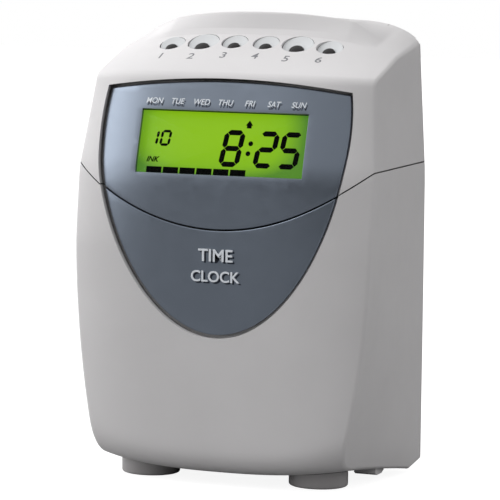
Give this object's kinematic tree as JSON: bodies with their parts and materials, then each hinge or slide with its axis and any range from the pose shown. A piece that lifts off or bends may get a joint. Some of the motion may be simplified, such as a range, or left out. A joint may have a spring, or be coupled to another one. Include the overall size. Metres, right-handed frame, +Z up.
{
  "type": "time clock",
  "caption": "Free-standing electronic time clock with a bowed case, hinged upper cover, backlit display, sloped key row and top card slot feeding a card printer.",
  "frame": {"origin": "under the middle of the case, on the plane its feet stand on", "axes": "+Z up, front with the display faces -Y, +X to the right seen from the front"},
  "size_m": [0.1652, 0.095, 0.244],
  "materials": {
    "case_grey": "fine textured moulded plastic",
    "key_grey": "satin moulded plastic",
    "foot_grey": "glossy grey plastic",
    "shield_metal": "satin metallic blue grey",
    "lens_dark": "smoked glossy lens",
    "clear_lens": "clear polished window",
    "display_green": "backlit display",
    "light_guide": "light guide",
    "circuit_green": "coated circuit board",
    "bright_steel": "turned steel",
    "sheet_steel": "zinc plated sheet",
    "brass": "turned brass",
    "roller_rubber": "matt rubber",
    "nylon": "natural nylon",
    "black_plastic": "black moulded plastic",
    "ribbon_fabric": "inked woven ribbon",
    "battery_sleeve": "shrink sleeve"
  },
  "bodies": {
    "base": {"rear_housing": "case_grey", "lower_case": "case_grey", "lower_panel": "shield_metal", "chassis": "sheet_steel", "card_guide_front": "sheet_steel", "card_guide_rear": "sheet_steel", "platen_bar": "roller_rubber", "guide_rod": "bright_steel", "carriage_motor": "sheet_steel", "feed_motor": "sheet_steel", "ribbon_cassette": "black_plastic", "ribbon_band": "ribbon_fabric", "main_board": "circuit_green", "power_transformer": "sheet_steel", "backup_battery": "battery_sleeve", "power_inlet": "black_plastic", "lock_barrel": "bright_steel", "front_foot_left": "foot_grey", "front_foot_right": "foot_grey", "rear_foot_left": "foot_grey", "rear_foot_right": "foot_grey", "hinge_pin_left": "bright_steel", "hinge_pin_right": "bright_steel", "case_screw_1": "bright_steel", "case_screw_2": "bright_steel", "case_screw_3": "bright_steel", "case_screw_4": "bright_steel"},
    "cover": {"upper_cover": "case_grey", "upper_panel": "shield_metal", "display_window": "clear_lens", "lcd_panel": "display_green", "lcd_backlight": "light_guide", "display_board": "circuit_green", "key_board": "circuit_green"},
    "lock": {"lock_plug": "brass", "lock_cam": "bright_steel"},
    "feed_roller": {"feed_shaft": "bright_steel", "feed_roller_left": "roller_rubber", "feed_roller_right": "roller_rubber", "feed_gear": "nylon"},
    "motor_pinion": {"motor_pinion": "brass"},
    "pinch_roller": {"pinch_shaft": "bright_steel", "pinch_roller_left": "nylon", "pinch_roller_right": "nylon"},
    "spiral_shaft": {"spiral_shaft": "bright_steel"},
    "carriage": {"carriage": "black_plastic", "print_head": "black_plastic"},
    "ribbon_knob": {"ribbon_knob": "nylon"},
    "key_1": {"key_1": "key_grey", "key_lens_1": "lens_dark"},
    "key_2": {"key_2": "key_grey", "key_lens_2": "lens_dark"},
    "key_3": {"key_3": "key_grey", "key_lens_3": "lens_dark"},
    "key_4": {"key_4": "key_grey", "key_lens_4": "lens_dark"},
    "key_5": {"key_5": "key_grey", "key_lens_5": "lens_dark"},
    "key_6": {"key_6": "key_grey", "key_lens_6": "lens_dark"}
  },
  "joints": [
    {"name": "cover_hinge", "type": "hinge", "parent": "base", "child": "cover", "pos_m": [0, 0.043, 0.2342], "axis": [-1, 0, 0], "range_deg": [0, 62]},
    {"name": "lock_turn", "type": "hinge", "parent": "base", "child": "lock", "pos_m": [-0.075, -0.01, 0.149], "axis": [-1, 0, 0], "range_deg": [0, 90]},
    {"name": "feed_turn", "type": "hinge", "parent": "base", "child": "feed_roller", "pos_m": [0, 0.02, 0.181], "axis": [1, 0, 0], "continuous": true},
    {"name": "pinion_turn", "type": "hinge", "parent": "base", "child": "motor_pinion", "pos_m": [0.07, 0.00272, 0.1689], "axis": [1, 0, 0], "continuous": true},
    {"name": "pinch_turn", "type": "hinge", "parent": "base", "child": "pinch_roller", "pos_m": [0, 0.0339, 0.181], "axis": [1, 0, 0], "continuous": true},
    {"name": "spiral_turn", "type": "hinge", "parent": "base", "child": "spiral_shaft", "pos_m": [0, 0.003, 0.12], "axis": [1, 0, 0], "range_deg": [-450, 450]},
    {"name": "carriage_slide", "type": "slide", "parent": "base", "child": "carriage", "axis": [1, 0, 0], "range_m": [-0.026, 0.026]},
    {"name": "ribbon_turn", "type": "hinge", "parent": "base", "child": "ribbon_knob", "pos_m": [0.034, 0.009, 0.16], "axis": [0, 0, 1], "continuous": true},
    {"name": "key_1_press", "type": "slide", "parent": "cover", "child": "key_1", "axis": [0, 0.4282, -0.9037], "range_m": [0, 0.0015]},
    {"name": "key_2_press", "type": "slide", "parent": "cover", "child": "key_2", "axis": [0, 0.4282, -0.9037], "range_m": [0, 0.0015]},
    {"name": "key_3_press", "type": "slide", "parent": "cover", "child": "key_3", "axis": [0, 0.4282, -0.9037], "range_m": [0, 0.0015]},
    {"name": "key_4_press", "type": "slide", "parent": "cover", "child": "key_4", "axis": [0, 0.4282, -0.9037], "range_m": [0, 0.0015]},
    {"name": "key_5_press", "type": "slide", "parent": "cover", "child": "key_5", "axis": [0, 0.4282, -0.9037], "range_m": [0, 0.0015]},
    {"name": "key_6_press", "type": "slide", "parent": "cover", "child": "key_6", "axis": [0, 0.4282, -0.9037], "range_m": [0, 0.0015]}
  ],
  "couplings": [
    {"joint": "pinion_turn", "follows": "feed_turn", "ratio": -2.5},
    {"joint": "pinch_turn", "follows": "feed_turn", "ratio": -1.9565},
    {"joint": "carriage_slide", "follows": "spiral_turn", "m_per_rad": 0.003183}
  ]
}
